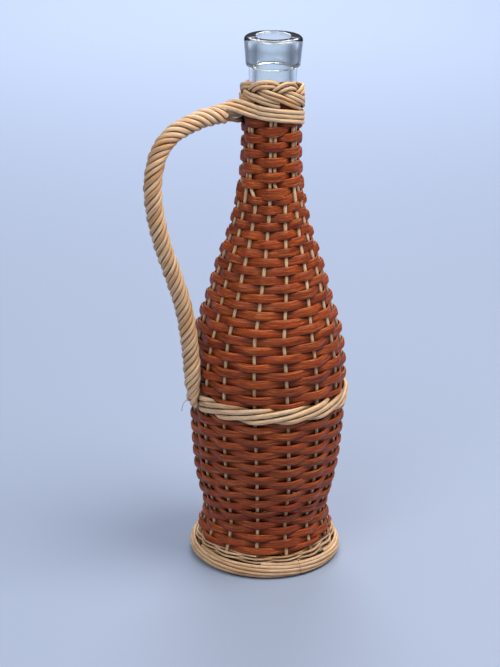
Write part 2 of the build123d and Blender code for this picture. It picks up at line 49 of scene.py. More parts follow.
# Glass bottle
BOTTLE_TOP, BOTTLE_FLOOR = 313.4, 14.0
GLASS_WALL, GLASS_CLEAR, GLASS_AROUND = 3.2, 0.3, 128
HEEL_ROUND, HEEL_TOP = 7.0, 23.0
PUNT_RADIUS, PUNT_INSIDE, PUNT_RISE = 19.0, 20.0, 9.0
INNER_HEEL_ROUND, INNER_HEEL_IN, INNER_HEEL_UP = 4.2, 1.2, 5.0
SHOULDER_FROM, SHOULDER_END = 226.0, 240.0
NECK_RADIUS, NECK_FLARE, FLARE_SHORT = 12.2, 262.0, 0.4
NECK_TOP_RADIUS, NECK_TOP, STEP_HOLLOW, STEP_ROUND = 13.6, 296.4, 0.6, 0.7
FINISH_FOOT_RADIUS, FINISH_FOOT, FINISH_DRAFT, FINISH_TOP_RADIUS = 15.25, 299.0, 0.1, 16.4
LIP_ROUND, MOUTH_ROUND = 2.4, 1.4
MOUTH_RADIUS, BORE_TOP, BORE_FOOT = 9.25, 309.4, 241.0

# Outside of the woven jacket: height, radius
JACKET = (
    (0.0, 43.0), (13.0, 42.2), (22.0, 39.2), (32.0, 37.9), (42.0, 40.3),
    (56.0, 43.2), (80.0, 45.4), (108.0, 46.5), (126.0, 45.8), (143.0, 43.2),
    (160.0, 37.9), (182.0, 31.4), (202.0, 24.4), (222.0, 19.8), (242.0, 17.5),
    (256.0, 17.1), (292.0, 17.0),
)

# Stakes, and the air beside them in the solids
STAKE_RADIUS, STAKE_COUNT, STAKE_RINGS = 1.05, 15, 240
STAKE_FOOT, STAKE_TOP = 2.8, 272.0
SNUG, COLUMN_SNUG = 0.38, 0.12

# Stake angles as seen at three heights, left to right, and of the neck's columns
LOW_Z, LOW_SEEN = 59.0, (184.6, 207.8, 235.2, 261.5, 286.1, 311.3)
MID_Z, MID_SEEN = 147.0, (190.8, 207.5, 230.9, 255.0, 281.3, 305.3)
HIGH_Z, HIGH_SEEN = 222.0, (188.3, 214.4, 240.8, 269.4, 294.3, 313.4)
NECK_Z, COLUMNS_SEEN, LAST_COLUMN = 232.0, (191.3, 244.9, 297.8), 500.0
COLUMN_STAKES = (2, 2, 2, 2, 2, 3, 2)  # stakes gathered in each column

# Weavers: thickness at two heights, and the least in front of a body stake
BODY_WEAVER, BODY_WEAVER_Z = 1.9, 108.0
NECK_WEAVER, NECK_WEAVER_Z = 0.7, 256.0
WEAVER_FRONT = 1.5
WEAVER_STIFFNESS = 0.92  # nearer 1 is straighter between the crests
WEAVER_STEPS = 14  # rings from one stake to the next
WEAVER_PROFILE = {"around": 14, "square": 2.7, "dome": 0.15}
FRONT_AIR, BEHIND_SHARE = 0.1, 0.35  # air in front of a stake, share of its radius behind it
LEAST_HEIGHT = 0.4  # of a row that is packed away

# Rows: rise from row to row, a row's height on the shown stake, and where the weavers run. A row's
# own height is given behind a stake, halfway and in front.
SHOWN_STAKE = 2
LOWER_PITCH, LOWER_ROW_Z = 3.99, 58.9
UPPER_PITCH, UPPER_ROW_Z = 4.78, 146.8
LOWER_FROM, LOWER_TO = 15.4, 96.8
UPPER_FROM, UPPER_SPLICE, UPPER_TO = 111.6, 172.0, 226.0
LOWER_TALL, UPPER_TALL = (6.6, 4.5, 4.8), (7.2, 5.1, 5.1)
BAND_FOOT, BAND_HEAD = 99.4, 108.4  # the rows next to the band are packed against it
FOOT_LAPS = 14  # crossings by which the lower weaver starts early, cut off at the foot line
END_LAPS = STAKE_COUNT - 2  # and by which both run on towards the band, cut off at it
SPLICE_TAIL, SPLICE_HEAD, UPPER_TAIL = 0.3, 0.6, 2.5  # crossings past the splice and at the neck

# Neck weaver: over one column of stakes and under the next. In its first lap the rows settle onto
# the ones below and are taller.
NECK_TO, NECK_PITCH, NECK_CLEAR = 276.6, 4.33, 5.6
NECK_STEPS, COLUMN_SHARE = 20, 0.3  # rings in a step, share of a step that a column takes
NECK_SETTLE, NECK_FIRST = 0.9, 1.4
NECK_TALL, NECK_FRONT_MORE, NECK_BEHIND_LESS = 4.6, 1.2, 0.1
NECK_AIR = 0.05
NECK_HIDDEN, NECK_SHOWN = 0.6, 2.0  # less and more than these show below the lowest wrap
NECK_THIN, NECK_THICK = 0.35, 1.5  # in front of a column where a row is hidden and where it shows

# Fibres that have split off the lower weaver, as (distance from the axis, angle, height)
FIBRE, FIBRE_RINGS = 0.25, 40
LOOSE_FIBRES = (
    ((46.0, 153.0, 96.0), (48.3, 154.0, 94.6), (49.8, 154.5, 91.8), (50.4, 154.8, 88.6)),
    (
        (41.6, 261.5, 17.5), (43.2, 265.0, 15.0), (45.0, 268.3, 10.5), (45.9, 270.0, 5.0),
        (45.8, 270.4, 1.5),
    ),
)

# Foot weaver: turns of the thin cane, height at which they begin, thickness, least and most height
FOOT_ROWS, FOOT_LOW, FOOT_THICK, FOOT_LEAST, FOOT_MOST = 5, 7.7, 1.4, 1.3, 2.1
FOOT_TALL = (1.1, 0.85, 0.9)  # behind a stake, halfway and in front, as shares of that height
FOOT_INSET, FOOT_Z = 0.3, 10.0  # rows left free below and above, height for a crossing's angle
# Lower edge of the brown weave round the foot: angle, height
FOOT_LINE = (
    (152.0, 14.0), (186.0, 13.5), (214.0, 13.4), (242.0, 13.3), (262.0, 13.6), (285.0, 15.0),
    (308.0, 16.6), (332.0, 16.6), (400.0, 15.2), (456.0, 14.5), (512.0, 14.0),
)

# Band: (stakes passed, steps up, 1 in front of the stakes to -1 behind). A cane is thicker and
# stands off further in front.
BAND_Z, BAND_STEP, BAND_CANES, BAND_RINGS = 104.0, 3.15, 4, 24
BAND_FROM, BAND_TO = -0.42, STAKE_COUNT - 0.5
BAND_THICK, BAND_WIDE, BAND_FRONT_MORE, BAND_STAND_OFF = 2.2, 2.95, 0.35, 0.45
BAND_PATH = (
    (0.0, 0.0, -1.0), (0.25, -0.5, -0.85), (0.5, -1.0, -0.3), (0.75, -1.1, 0.35), (1.0, -1.05, 0.95),
    (1.5, -0.53, 1.0), (2.0, 0.0, 1.0), (2.5, 0.53, 1.0), (3.0, 1.05, 0.95), (3.25, 1.1, 0.6),
    (3.5, 1.0, 0.0), (3.75, 0.55, -0.75), (4.0, 0.0, -1.0),
)

# Foot border: nodes of the solids, canes, their size, rings, turn, and (radius, height) on the way
BORDER_SOLIDS, BORDER_CANES, BORDER_CANE, BORDER_RINGS, BORDER_TURN = 5, 6, 2.05, 260, 358
BORDER_ROLL = (
    (41.9, 8.8), (43.1, 7.5), (43.9, 5.8), (44.2, 3.8), (43.5, 2.0), (41.8, 1.05), (39.7, 1.05),
)

# Woven base: sticks, their distance from the jacket, and the two canes woven round them
BASE_STICK_RADIUS, BASE_STICKS, BASE_STICK_SPACING, BASE_STICK_RINGS = 1.25, 4, 3.4, 60
BASE_GAP, BASE_SIDE_GAP = 0.05, 0.8
BASE_HOLE, BASE_PITCH, BASE_RINGS, BASE_EDGE = 15.0, 3.2, 90, 1.0
BASE_Z, BASE_SWING, BASE_THICK, BASE_WIDE = 11.0, 2.4, 1.1, 1.55

# Collar wraps: the lowest one's line round the neck as (angle, height), and where each leaves the
# handle and comes back to it, as (angle, radius, height)
WRAP_CANE, WRAP_GAP, WRAP_RADIUS, WRAP_RINGS = 2.45, 2.6, 17.3, 260
WRAP_OVAL = (0.92, 1.05)  # thickness and width as shares of the cane's size
WRAP_LINE = (
    (214.5, 271.3), (228.0, 270.8), (242.0, 270.4), (254.0, 269.9), (267.5, 269.3), (283.0, 268.4),
    (303.5, 267.0), (332.0, 265.0), (372.0, 264.7), (430.0, 264.6), (470.0, 264.7), (500.0, 264.9),
)
WRAP_STARTS = (
    (
        (174.4, 38.6, 273.4), (175.6, 36.3, 275.2), (180.0, 33.2, 276.5), (184.2, 30.6, 276.4),
        (190.0, 26.6, 275.5), (196.5, 22.9, 273.8), (205.0, 20.0, 272.4),
    ),
    (
        (171.8, 35.4, 272.6), (173.6, 33.0, 275.2), (177.0, 29.9, 277.0), (182.0, 26.8, 277.6),
        (189.0, 24.0, 277.0), (196.0, 21.6, 276.1), (205.0, 19.5, 275.0),
    ),
    (
        (170.6, 31.8, 271.8), (171.8, 29.6, 274.6), (175.0, 27.0, 277.4), (180.0, 24.2, 278.9),
        (188.0, 22.1, 278.9), (196.0, 20.3, 278.4), (205.0, 18.8, 277.6),
    ),
)
WRAP_ENDS = (
    (
        (517.0, 18.8, 265.6), (525.0, 22.0, 266.8), (530.5, 25.8, 267.8), (535.0, 29.8, 268.2),
        (540.0, 33.4, 268.0), (544.4, 36.2, 269.2),
    ),
    (
        (517.0, 18.8, 268.3), (525.0, 22.2, 269.8), (529.5, 26.0, 270.9), (531.8, 30.0, 271.2),
        (535.0, 33.6, 269.8), (539.4, 36.4, 268.2),
    ),
    (
        (517.0, 18.8, 271.1), (525.5, 22.3, 272.8), (530.0, 26.2, 274.2), (532.0, 30.2, 274.4),
        (533.4, 34.0, 272.8), (536.6, 36.8, 269.9),
    ),
)

# Collar plait: two canes rise from each column, arch over the next one, pass under its canes and
# run down outside the two after that. The plait stands on one line and reaches up to another, both
# as (angle, height). A cane's path: columns passed, share of that height, radius. A cane is cut off
# after some columns, and the last pair later.
LOOP_CANE, LOOP_BUTT, LOOP_RINGS, LOOP_OVAL = 2.0, 0.2, 150, (0.92, 1.06)
LOOP_END, LAST_LOOP_END = 3.2, 3.4
PLAIT_FOOT = (
    (187.0, 275.8), (214.0, 275.9), (242.0, 275.4), (267.0, 274.4), (303.0, 272.1), (332.0, 270.4),
    (372.0, 269.9), (430.0, 269.9), (470.0, 270.5), (500.0, 272.0), (525.0, 274.2), (547.0, 275.8),
)
PLAIT_CROWN = (
    (187.0, 288.7), (214.0, 290.4), (242.0, 290.9), (267.0, 290.3), (303.0, 287.9), (332.0, 286.0),
    (372.0, 285.0), (430.0, 284.8), (470.0, 285.0), (500.0, 285.6), (525.0, 286.9), (547.0, 288.7),
)
LOOP_LEFT = (
    (-0.082, 0.0, 14.75), (-0.085, 0.25, 14.7), (-0.08, 0.46, 14.7), (-0.05, 0.61, 15.2),
    (0.03, 0.735, 16.5), (0.13, 0.83, 17.3), (0.26, 0.92, 17.4), (0.45, 0.99, 17.2),
    (0.7, 1.01, 16.2), (0.92, 0.985, 15.0), (1.1, 0.925, 14.7), (1.3, 0.825, 14.7),
    (1.46, 0.74, 15.3), (1.64, 0.69, 16.7), (1.82, 0.65, 17.5), (2.1, 0.57, 17.9),
    (2.45, 0.455, 17.5), (2.85, 0.35, 17.2), (3.12, 0.3, 16.9), (3.4, 0.26, 15.6),
)
LOOP_RIGHT = (
    (0.082, 0.0, 14.75), (0.085, 0.2, 14.7), (0.095, 0.42, 14.7), (0.13, 0.56, 15.2),
    (0.2, 0.665, 16.5), (0.3, 0.74, 17.2), (0.42, 0.8, 17.3), (0.62, 0.85, 17.1),
    (0.82, 0.835, 16.0), (1.0, 0.805, 14.9), (1.15, 0.745, 14.7), (1.3, 0.66, 14.8),
    (1.45, 0.595, 15.7), (1.62, 0.55, 16.9), (1.8, 0.505, 17.5), (2.1, 0.42, 17.9),
    (2.45, 0.31, 17.5), (2.85, 0.205, 17.2), (3.12, 0.155, 17.0), (3.4, 0.11, 15.8),
)

# Handle: its line as (distance from the axis, height), from the neck down. Its lower end leans to
# the front. The canes lie round a core on a helix, whose (distance down, radius) draws in at the end.
HANDLE_LINE = (
    (20.2, 271.6), (28.0, 272.2), (35.0, 272.1), (43.0, 270.9), (50.0, 268.9), (60.6, 264.4),
    (68.2, 256.6), (72.5, 245.0), (73.4, 232.0), (71.4, 216.0), (67.2, 200.0), (61.3, 183.0),
    (56.6, 168.0), (53.4, 153.0), (51.5, 138.0), (50.4, 124.0), (50.2, 112.0), (50.2, 97.0),
)
HANDLE_LEAN, LEAN_FROM = 3.0, 10
HANDLE_TWIST = (
    (0.0, 4.05), (45.0, 3.8), (170.0, 3.75), (192.0, 3.6), (199.0, 3.1), (205.0, 2.1), (212.0, 1.4),
)
HANDLE_CANE, HANDLE_LAY, HANDLE_LIFT, HANDLE_FROM = 2.6, 26.0, 0.15, 10.4
HANDLE_OVAL = (1.04, 1.06)  # thickness as a share of the cane's size, width over thickness
HANDLE_SPACING, HANDLE_LINE_STEPS = 0.8, 40  # between a cane's rings, from one knot to the next
HANDLE_ENDS = (211.0, 202.0, 208.5, 205.0, 207.0, 199.0)
HANDLE_CORE, HANDLE_CORE_LENGTH, CORE_RINGS = 4.2, 196.0, 160
CORE_TAPER, CORE_TAPER_FROM = 0.5, 165.0

ROUND_CANE = {"around": 14, "square": 2.2}
DOME_TURNS = np.radians([20.0, 45.0, 70.0])  # the rings of a cane's rounded end
PATTERN_SHIFT, PATTERN_CYCLE = np.array([37.0, 11.0, 5.0]), 97  # from one seed to the next

# Studio, in metres and watts
FLOOR_HALF, FLOOR_COLOUR = 6, "#9ba8c2"
SKY_STRENGTH = 0.52
SKY = ((0.0, "#1f2328"), (0.1, "#43474e"), (0.28, "#b4b8bf"), (0.6, "#f1f3f6"))  # height, colour
# Name, place, what it shines at, size, power, colour
LAMPS = (
    ("soft box above", (0.25, -0.27, 0.87), (0, 0, 0.3), 0.58, 6.4, "#fff6ea"),
    ("fill at left", (-0.7, -0.5, 1.0), (0, 0, 0.3), 0.65, 4.2, "#fbfaf6"),
    ("lamp on the far floor", (0.75, 1.5, 1.3), (0.6, 1.4, 0), 1.2, 32.0, "#ffffff"),
)

# Camera, fitted to the stakes and the outline: its lens, its place as an angle about +Z, a distance
# from the axis and a height, and its turns down, aside and about its own line of sight
SENSOR_WIDTH, LENS = 36.0, 105.354
CAMERA_ANGLE, CAMERA_REACH, CAMERA_HEIGHT = 242, 1.06276, 0.54408
CAMERA_DOWN, CAMERA_ASIDE, CAMERA_ROLL = 20.935, 0.5345, 1.029


def through(knots, x):
    """Value at x of the smooth curve through (place, value) knots.

    A cubic Hermite piece joins neighbours, and its slope at a knot is the mean of the two
    straight slopes that meet there.
    """
    knots = np.asarray(knots, float)
    x = np.clip(x, knots[0, 0], knots[-1, 0])
    steps = np.diff(knots[:, 1]) / np.diff(knots[:, 0])
    slopes = np.concatenate([steps[:1], (steps[1:] + steps[:-1]) / 2, steps[-1:]])
    i = np.clip(np.searchsorted(knots[:, 0], x, side="right") - 1, 0, len(steps) - 1)
    run = knots[i + 1, 0] - knots[i, 0]
    t = (x - knots[i, 0]) / run
    return (
        (1 + 2 * t) * (1 - t) ** 2 * knots[i, 1]
        + t * (1 - t) ** 2 * run * slopes[i]
        + t * t * (3 - 2 * t) * knots[i + 1, 1]
        - t * t * (1 - t) * run * slopes[i + 1]
    )


def along_rows(table, step):
    """Each column of a table as a smooth curve through its rows, at steps counted in rows."""
    return [through(list(enumerate(column)), step) for column in zip(*table)]


def round_line(line, angle):
    """Heights of an (angle, height) line round the bottle at some angles."""
    return through(line, line[0][0] + np.mod(angle - line[0][0], 360))


def polar(radius, angle, z):
    """Points at a radius and an angle round the bottle's axis."""
    turn = np.radians(angle)
    return np.stack(np.broadcast_arrays(radius * np.cos(turn), radius * np.sin(turn), z), -1)


def unit(vectors):
    """The vectors, each divided by its length."""
    return vectors / np.maximum(np.linalg.norm(vectors, axis=-1, keepdims=True), 1e-9)


def run_length(points):
    """Length of the straight runs through the points, up to each of them."""
    return np.concatenate([[0], np.cumsum(np.linalg.norm(np.diff(points, axis=0), axis=1))])


def ease(x, start, end):
    """Rises smoothly from 0 at start to 1 at end, as three squares less two cubes."""
    t = np.clip((x - start) / (end - start), 0, 1)
    return t * t * (3 - 2 * t)


def wander(x, step, seed):
    """Smooth random values from -1 to 1: one value each step, joined by half a cosine wave."""
    x = np.asarray(x, float) / step
    low = math.floor(x.min())
    values = np.random.default_rng(seed).uniform(-1, 1, math.floor(x.max()) - low + 3)
    i = np.floor(x).astype(int)
    blend = (1 - np.cos(np.pi * (x - i))) / 2
    return values[i - low] * (1 - blend) + values[i - low + 1] * blend


def uneven(share, x, step, seed):
    """Factors that wander about 1 by a share."""
    return 1 + share * wander(x, step, seed)


def jacket(z):
    """Radius of the outside of the weave."""
    return through(JACKET, z)


def weaver_thickness(z):
    """Thickness of a weaver, thinner where the jacket is pulled tight."""
    share = (jacket(z) - jacket(NECK_WEAVER_Z)) / (jacket(BODY_WEAVER_Z) - jacket(NECK_WEAVER_Z))
    return NECK_WEAVER + share * (BODY_WEAVER - NECK_WEAVER)


def stake_line(z):
    """Radius of the stakes' centre lines."""
    return jacket(z) - weaver_thickness(z) - SNUG - STAKE_RADIUS


def lining(z):
    """Radius of the inside of the weave."""
    return stake_line(z) - STAKE_RADIUS - SNUG - weaver_thickness(z)


def outward(angle, z):
    """Unit vectors square to the jacket's wall, from the slope of the stakes' line."""
    slope = (stake_line(z + 1) - stake_line(z - 1)) / 2
    return unit(polar(1.0, angle, -slope))


def all_stakes(seen):
    """Angles of all stakes: the seen ones, and the rest spread evenly round the back."""
    hidden = STAKE_COUNT - len(seen)
    gap = (seen[0] + 360 - seen[-1]) / (hidden + 1)
    return list(seen) + [seen[-1] + gap * (i + 1) for i in range(hidden)]


def neck_columns():
    """Angles of the seven columns in which the stakes are gathered round the neck."""
    hidden = len(COLUMN_STAKES) - len(COLUMNS_SEEN)
    gap = (LAST_COLUMN - COLUMNS_SEEN[-1]) / hidden
    return list(COLUMNS_SEEN) + [COLUMNS_SEEN[-1] + gap * (i + 1) for i in range(hidden)]


def neck_stakes():
    """Angles of the stakes round the neck, side by side in their columns."""
    beside = math.degrees((STAKE_RADIUS + COLUMN_SNUG / 2) / stake_line(STAKE_TOP))
    angles = []
    for column, count in zip(neck_columns(), COLUMN_STAKES):
        angles += [column + beside * (2 * i - count + 1) for i in range(count)]
    return angles


LEVEL_Z = np.array([LOW_Z, MID_Z, HIGH_Z, NECK_Z])
LEVEL_ANGLES = np.array([*map(all_stakes, (LOW_SEEN, MID_SEEN, HIGH_SEEN)), neck_stakes()])


def stake_angle(stake, z):
    """Angle of stakes at heights, straight between the levels and steady past the ends."""
    turn, stake = np.divmod(stake, STAKE_COUNT)
    z = np.clip(z, LEVEL_Z[0], LEVEL_Z[-1])
    above = np.clip(np.searchsorted(LEVEL_Z, z), 1, len(LEVEL_Z) - 1)
    share = (z - LEVEL_Z[above - 1]) / (LEVEL_Z[above] - LEVEL_Z[above - 1])
    low, high = LEVEL_ANGLES[above - 1, stake], LEVEL_ANGLES[above, stake]
    return low + (high - low) * share + 360 * turn


def gap_angle(crossing, z):
    """Angles of places between two stakes, as a share of the gap past the first of them."""
    near = np.floor(crossing).astype(int)
    before, after = stake_angle(near, z), stake_angle(near + 1, z)
    return before + (after - before) * (crossing - near)


def crossing_at(z, row_z, pitch):
    """Number of the crossing that a spiral reaches at a height."""
    return SHOWN_STAKE + round((z - row_z) / pitch * STAKE_COUNT)


def linear(hex_colour):
    """A colour written as sRGB hex, as linear red, green, blue and alpha."""
    parts = [int(hex_colour[i:i + 2], 16) / 255 for i in (1, 3, 5)]
    return [c / 12.92 if c <= 0.04045 else ((c + 0.055) / 1.055) ** 2.4 for c in parts] + [1.0]


def ring_directions(path, out, roll):
    """Unit vectors along a path, outwards and across it, with the last two turned by a roll."""
    along = unit(np.gradient(path, axis=0))
    out = np.broadcast_to(out, path.shape)
    out = unit(out - along * np.sum(out * along, 1, keepdims=True))
    side = np.cross(along, out)
    turn = np.radians(roll)[:, None]
    return along, out * np.cos(turn) + side * np.sin(turn), side * np.cos(turn) - out * np.sin(turn)


def tube_faces(rings, around):
    """Numbers of the points of a tube, ring by ring, and the four-cornered faces between them."""
    corner = np.arange(rings * around).reshape(rings, around)
    beside = np.roll(corner, -1, 1)
    return corner, np.stack([corner[:-1], beside[:-1], beside[1:], corner[1:]], -1).reshape(-1, 4)


def sweep(
    path, out, thick, wide, seed, around=12, square=2.0, roll=0.0, dome=0.4, shade=0.0, tone=0.0,
):
    """One cane, closed at both ends: an oval carried along a path, as arrays for a mesh.

    The ring at a place is square to the path. At a turn a round it, its point stands off by
    thick/2 times the cosine of a along the outward side, and wide/2 times the sine of a across,
    each with its size raised to 2/square, so that 2 is an ellipse and more is boxier. Roll turns
    the ring about the path. At both ends rings shrink as a sine over a short dome. Each point
    also gets its place in the straightened cane (along, across, through), offset by a seed.
    """
    path = np.asarray(path, float)
    count = len(path)
    thick, wide, roll, shade, tone = (
        np.broadcast_to(np.asarray(v, float), (count,)) for v in (thick, wide, roll, shade, tone)
    )
    along, out, side = ring_directions(path, out, roll)
    first, last = np.zeros(len(DOME_TURNS), int), np.full(len(DOME_TURNS), count - 1)
    index = np.concatenate([first, np.arange(count), last])
    size = np.concatenate([np.sin(DOME_TURNS), np.ones(count), np.sin(DOME_TURNS[::-1])])
    shift = np.concatenate([-np.cos(DOME_TURNS), np.zeros(count), np.cos(DOME_TURNS[::-1])])
    shift = shift * dome * np.minimum(thick, wide)[index]
    centre = path[index] + along[index] * shift[:, None]
    angle = 2 * np.pi * np.arange(around) / around
    cosine = np.sign(np.cos(angle)) * np.abs(np.cos(angle)) ** (2 / square)
    sine = np.sign(np.sin(angle)) * np.abs(np.sin(angle)) ** (2 / square)
    through_cane = (thick[index] * size / 2)[:, None] * cosine
    across = (wide[index] * size / 2)[:, None] * sine
    points = centre[:, None] + out[index][:, None] * through_cane[..., None]
    points = points + side[index][:, None] * across[..., None]
    length = run_length(path)[index] + shift
    place = np.stack([np.broadcast_to(length[:, None], across.shape), across, through_cane], -1)
    place = place + PATTERN_SHIFT * (seed % PATTERN_CYCLE + 1)
    corner, quads = tube_faces(len(index), around)
    return {
        "points": points.reshape(-1, 3),
        "place": place.reshape(-1, 3),
        "quads": quads,
        "caps": [corner[0, ::-1], corner[-1]],
        "shade": np.repeat(shade[index], around),
        "tone": np.repeat(tone[index], around),
    }


def add_object(name, data):
    """A new object in the scene, at the origin."""
    thing = bpy.data.objects.new(name, data)
    bpy.context.scene.collection.objects.link(thing)
    return thing


def mesh_piece(name, points, faces, material, slot, nodes, attributes):
    """One finished object in the place of its nodes, with smooth faces and point attributes."""
    mesh = bpy.data.meshes.new(name)
    mesh.from_pydata((points * MILLIMETRE).tolist(), [], faces)
    for key, (kind, field, values) in attributes.items():
        mesh.attributes.new(key, kind, "POINT").data.foreach_set(field, values.ravel().astype("f"))
    mesh.shade_smooth()
    mesh.materials.append(material)
    piece = add_object(name, mesh)
    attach(piece, "root")
    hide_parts(*nodes)


def cane_piece(name, canes, finish, *nodes):
    """Several swept canes as one object, in the material of a finish of (material, slot); the slot is not
    used.
    """
    faces, base = [], 0
    for cane in canes:
        faces += (cane["quads"] + base).tolist()
        faces += [(cap + base).tolist() for cap in cane["caps"]]
        base += len(cane["points"])
    points, place, shade, tone = (
        np.concatenate([cane[key] for cane in canes]) for key in ("points", "place", "shade", "tone")
    )
    attributes = {
        "cane_place": ("FLOAT_VECTOR", "vector", place),
        "cane_shade": ("FLOAT", "value", shade),
        "cane_tone": ("FLOAT", "value", tone),
    }
    mesh_piece(name, points, faces, *finish, nodes, attributes)


def new_tree(owner):
    """The empty node tree of a material or a world."""
    owner.use_nodes = True
    owner.node_tree.nodes.clear()
    return owner.node_tree


def add_node(tree, kind, inputs=None, stops=None, **settings):
    """Adds one node with its settings, its sockets' values or feeding sockets, and ramp stops."""
    node = tree.nodes.new(kind)
    for key, value in settings.items():
        setattr(node, key, value)
    for socket, value in (inputs or {}).items():
        if isinstance(value, bpy.types.NodeSocket):
            tree.links.new(value, node.inputs[socket])
        else:
            node.inputs[socket].default_value = value
    for i, (place, colour) in enumerate(stops or ()):
        ramp = node.color_ramp.elements
        stop = ramp[i] if i < len(ramp) else ramp.new(place)
        stop.position, stop.color = place, linear(colour)
    return node


def cane_finish(name, fibres, patches, painted_shade_colour, gloss, fibre_depth):
    """Rattan core cane, split and dried: long pale and dark fibres under a dull satin surface.

    The fibres are noise drawn out along the cane, about 0.6 mm wide and 14 mm long, with finer
    ones of 0.2 mm between them. Patches 5 mm wide and 60 mm long shift the colour, each cane's
    own tone lightens or darkens it, and painted shade darkens it towards the painted shade colour
    where the weave dips in, as the cane_shade attribute says, and within 3 mm of a neighbour.
    """
    material = bpy.data.materials.new(name)
    tree = new_tree(material)
    place = add_node(tree, "ShaderNodeAttribute", attribute_name="cane_place").outputs["Vector"]
    shade = add_node(tree, "ShaderNodeAttribute", attribute_name="cane_shade").outputs["Fac"]
    tone = add_node(tree, "ShaderNodeAttribute", attribute_name="cane_tone").outputs["Fac"]

    def drawn_noise(length, width, detail):
        """Noise with grains of a length along the cane and a width across it."""
        scale = (1 / length, 1 / width, 1 / width)
        drawn = add_node(tree, "ShaderNodeMapping", {"Vector": place, "Scale": scale})
        grain = {"Vector": drawn.outputs[0], "Scale": 1.0, "Detail": detail, "Roughness": 0.6}
        return add_node(tree, "ShaderNodeTexNoise", grain).outputs["Fac"]

    fibre, hair, patch = drawn_noise(14.0, 0.6, 4), drawn_noise(5.0, 0.2, 2), drawn_noise(60.0, 5.0, 1)
    mixed = add_node(tree, "ShaderNodeMath", {0: fibre, 1: hair}, operation="ADD").outputs[0]
    half = add_node(tree, "ShaderNodeMath", {0: mixed, 1: 0.5}, operation="MULTIPLY").outputs[0]
    fibre_colour = add_node(tree, "ShaderNodeValToRGB", {"Fac": half}, fibres).outputs["Color"]
    patch_colour = add_node(tree, "ShaderNodeValToRGB", {"Fac": patch}, patches).outputs["Color"]
    colour = add_node(
        tree, "ShaderNodeMix", {0: 1.0, 6: fibre_colour, 7: patch_colour},
        data_type="RGBA", blend_type="MULTIPLY",
    ).outputs[2]
    brightness = add_node(
        tree, "ShaderNodeMath", {0: tone, 1: 0.16, 2: 1.0}, operation="MULTIPLY_ADD",
    ).outputs[0]
    colour = add_node(
        tree, "ShaderNodeHueSaturation", {"Value": brightness, "Color": colour},
    ).outputs["Color"]
    # Painted shade: ambient occlusion within 3 mm darkens the colour in crevices, and the cane_shade
    # attribute darkens it where a cane lies back; the larger of the two mixes in the painted shade colour
    crevice_shade = add_node(
        tree, "ShaderNodeAmbientOcclusion", {"Distance": 3.0 * MILLIMETRE}, samples=6,
    ).outputs["AO"]
    crevice_shade = add_node(
        tree, "ShaderNodeMapRange",
        {"Value": crevice_shade, "From Min": 0.2, "From Max": 0.75, "To Min": 0.8, "To Max": 0.0},
    ).outputs[0]
    dark = add_node(tree, "ShaderNodeMath", {0: shade, 1: crevice_shade}, operation="MAXIMUM").outputs[0]
    colour = add_node(
        tree, "ShaderNodeMix", {0: dark, 6: colour, 7: linear(painted_shade_colour)}, data_type="RGBA",
    ).outputs[2]
    rough = add_node(
        tree, "ShaderNodeMapRange",
        {"Value": half, "From Min": 0.3, "From Max": 0.7, "To Min": gloss + 0.1, "To Max": gloss - 0.05},
    ).outputs[0]
    bump = add_node(
        tree, "ShaderNodeBump",
        {"Height": mixed, "Strength": 0.55, "Distance": fibre_depth * MILLIMETRE},
    ).outputs[0]
    surface = add_node(
        tree, "ShaderNodeBsdfPrincipled",
        {"Base Color": colour, "Roughness": rough, "Normal": bump, "IOR": 1.5,
         "Specular IOR Level": 0.35},
    )
    add_node(tree, "ShaderNodeOutputMaterial", {"Surface": surface.outputs[0]})
    return material


def bottle_glass_finish():
    """Soda-lime glass, pressed and fire-polished: clear, faintly grey-green at its thick edges.

    Slow waves of about 9 mm from the mould bend the reflections a little, and handling leaves
    the surface not quite smooth in patches of about 12 mm.
    """
    material = bpy.data.materials.new("clear soda-lime glass")
    tree = new_tree(material)
    place = add_node(tree, "ShaderNodeTexCoord").outputs["Object"]
    waves, touch = (
        add_node(
            tree, "ShaderNodeTexNoise", {"Vector": place, "Scale": scale, "Detail": detail},
        ).outputs["Fac"]
        for scale, detail in ((110.0, 1.0), (80.0, 3.0))
    )
    rough = add_node(
        tree, "ShaderNodeMapRange",
        {"Value": touch, "From Min": 0.45, "From Max": 0.75, "To Min": 0.0, "To Max": 0.05},
    ).outputs[0]
    bump = add_node(
        tree, "ShaderNodeBump", {"Height": waves, "Strength": 0.25, "Distance": 0.25 * MILLIMETRE},
    ).outputs[0]
    surface = add_node(
        tree, "ShaderNodeBsdfPrincipled",
        {"Base Color": linear("#f3f7f5"), "Roughness": rough, "Normal": bump,
         "IOR": 1.52, "Transmission Weight": 1.0},
    )
    add_node(tree, "ShaderNodeOutputMaterial", {"Surface": surface.outputs[0]})
    return material


# The fourth colour of each finish is its painted shade colour, for crevices and for canes that lie back
STAINED = cane_finish(
    "rattan core, stained brown",
    ((0.34, "#3f1205"), (0.45, "#84350f"), (0.55, "#a54a16"), (0.66, "#d88a45")),
    ((0.30, "#c9ab98"), (0.52, "#ffffff"), (0.72, "#ffe0bd")),
    "#260f07", 0.46, 0.12,
), "stained_cane"
PALE = cane_finish(
    "rattan core, natural",
    ((0.33, "#96714e"), (0.44, "#d0a984"), (0.56, "#e9cba6"), (0.68, "#fbecd8")),
    ((0.30, "#e2cab2"), (0.50, "#ffffff"), (0.72, "#f6e0c4")),
    "#3d2611", 0.48, 0.10,
), "pale_cane"


def stake_rod(stake):
    """An upright rod that leans a little, and comes beside its neighbours at the neck."""
    z = np.linspace(STAKE_FOOT, STAKE_TOP, STAKE_RINGS)
    angle = stake_angle(np.full(len(z), stake), z)
    size = 2 * STAKE_RADIUS * uneven(0.03, z, 18, 900 + stake)
    tone = 0.3 * wander(z, 40, 950 + stake)
    return sweep(polar(stake_line(z), angle, z), outward(angle, z), size, size, stake, tone=tone)


for stake in range(STAKE_COUNT):
    name = f"stake_{stake + 1:02d}"
    cane_piece("rod_" + name, [stake_rod(stake)], PALE, name)


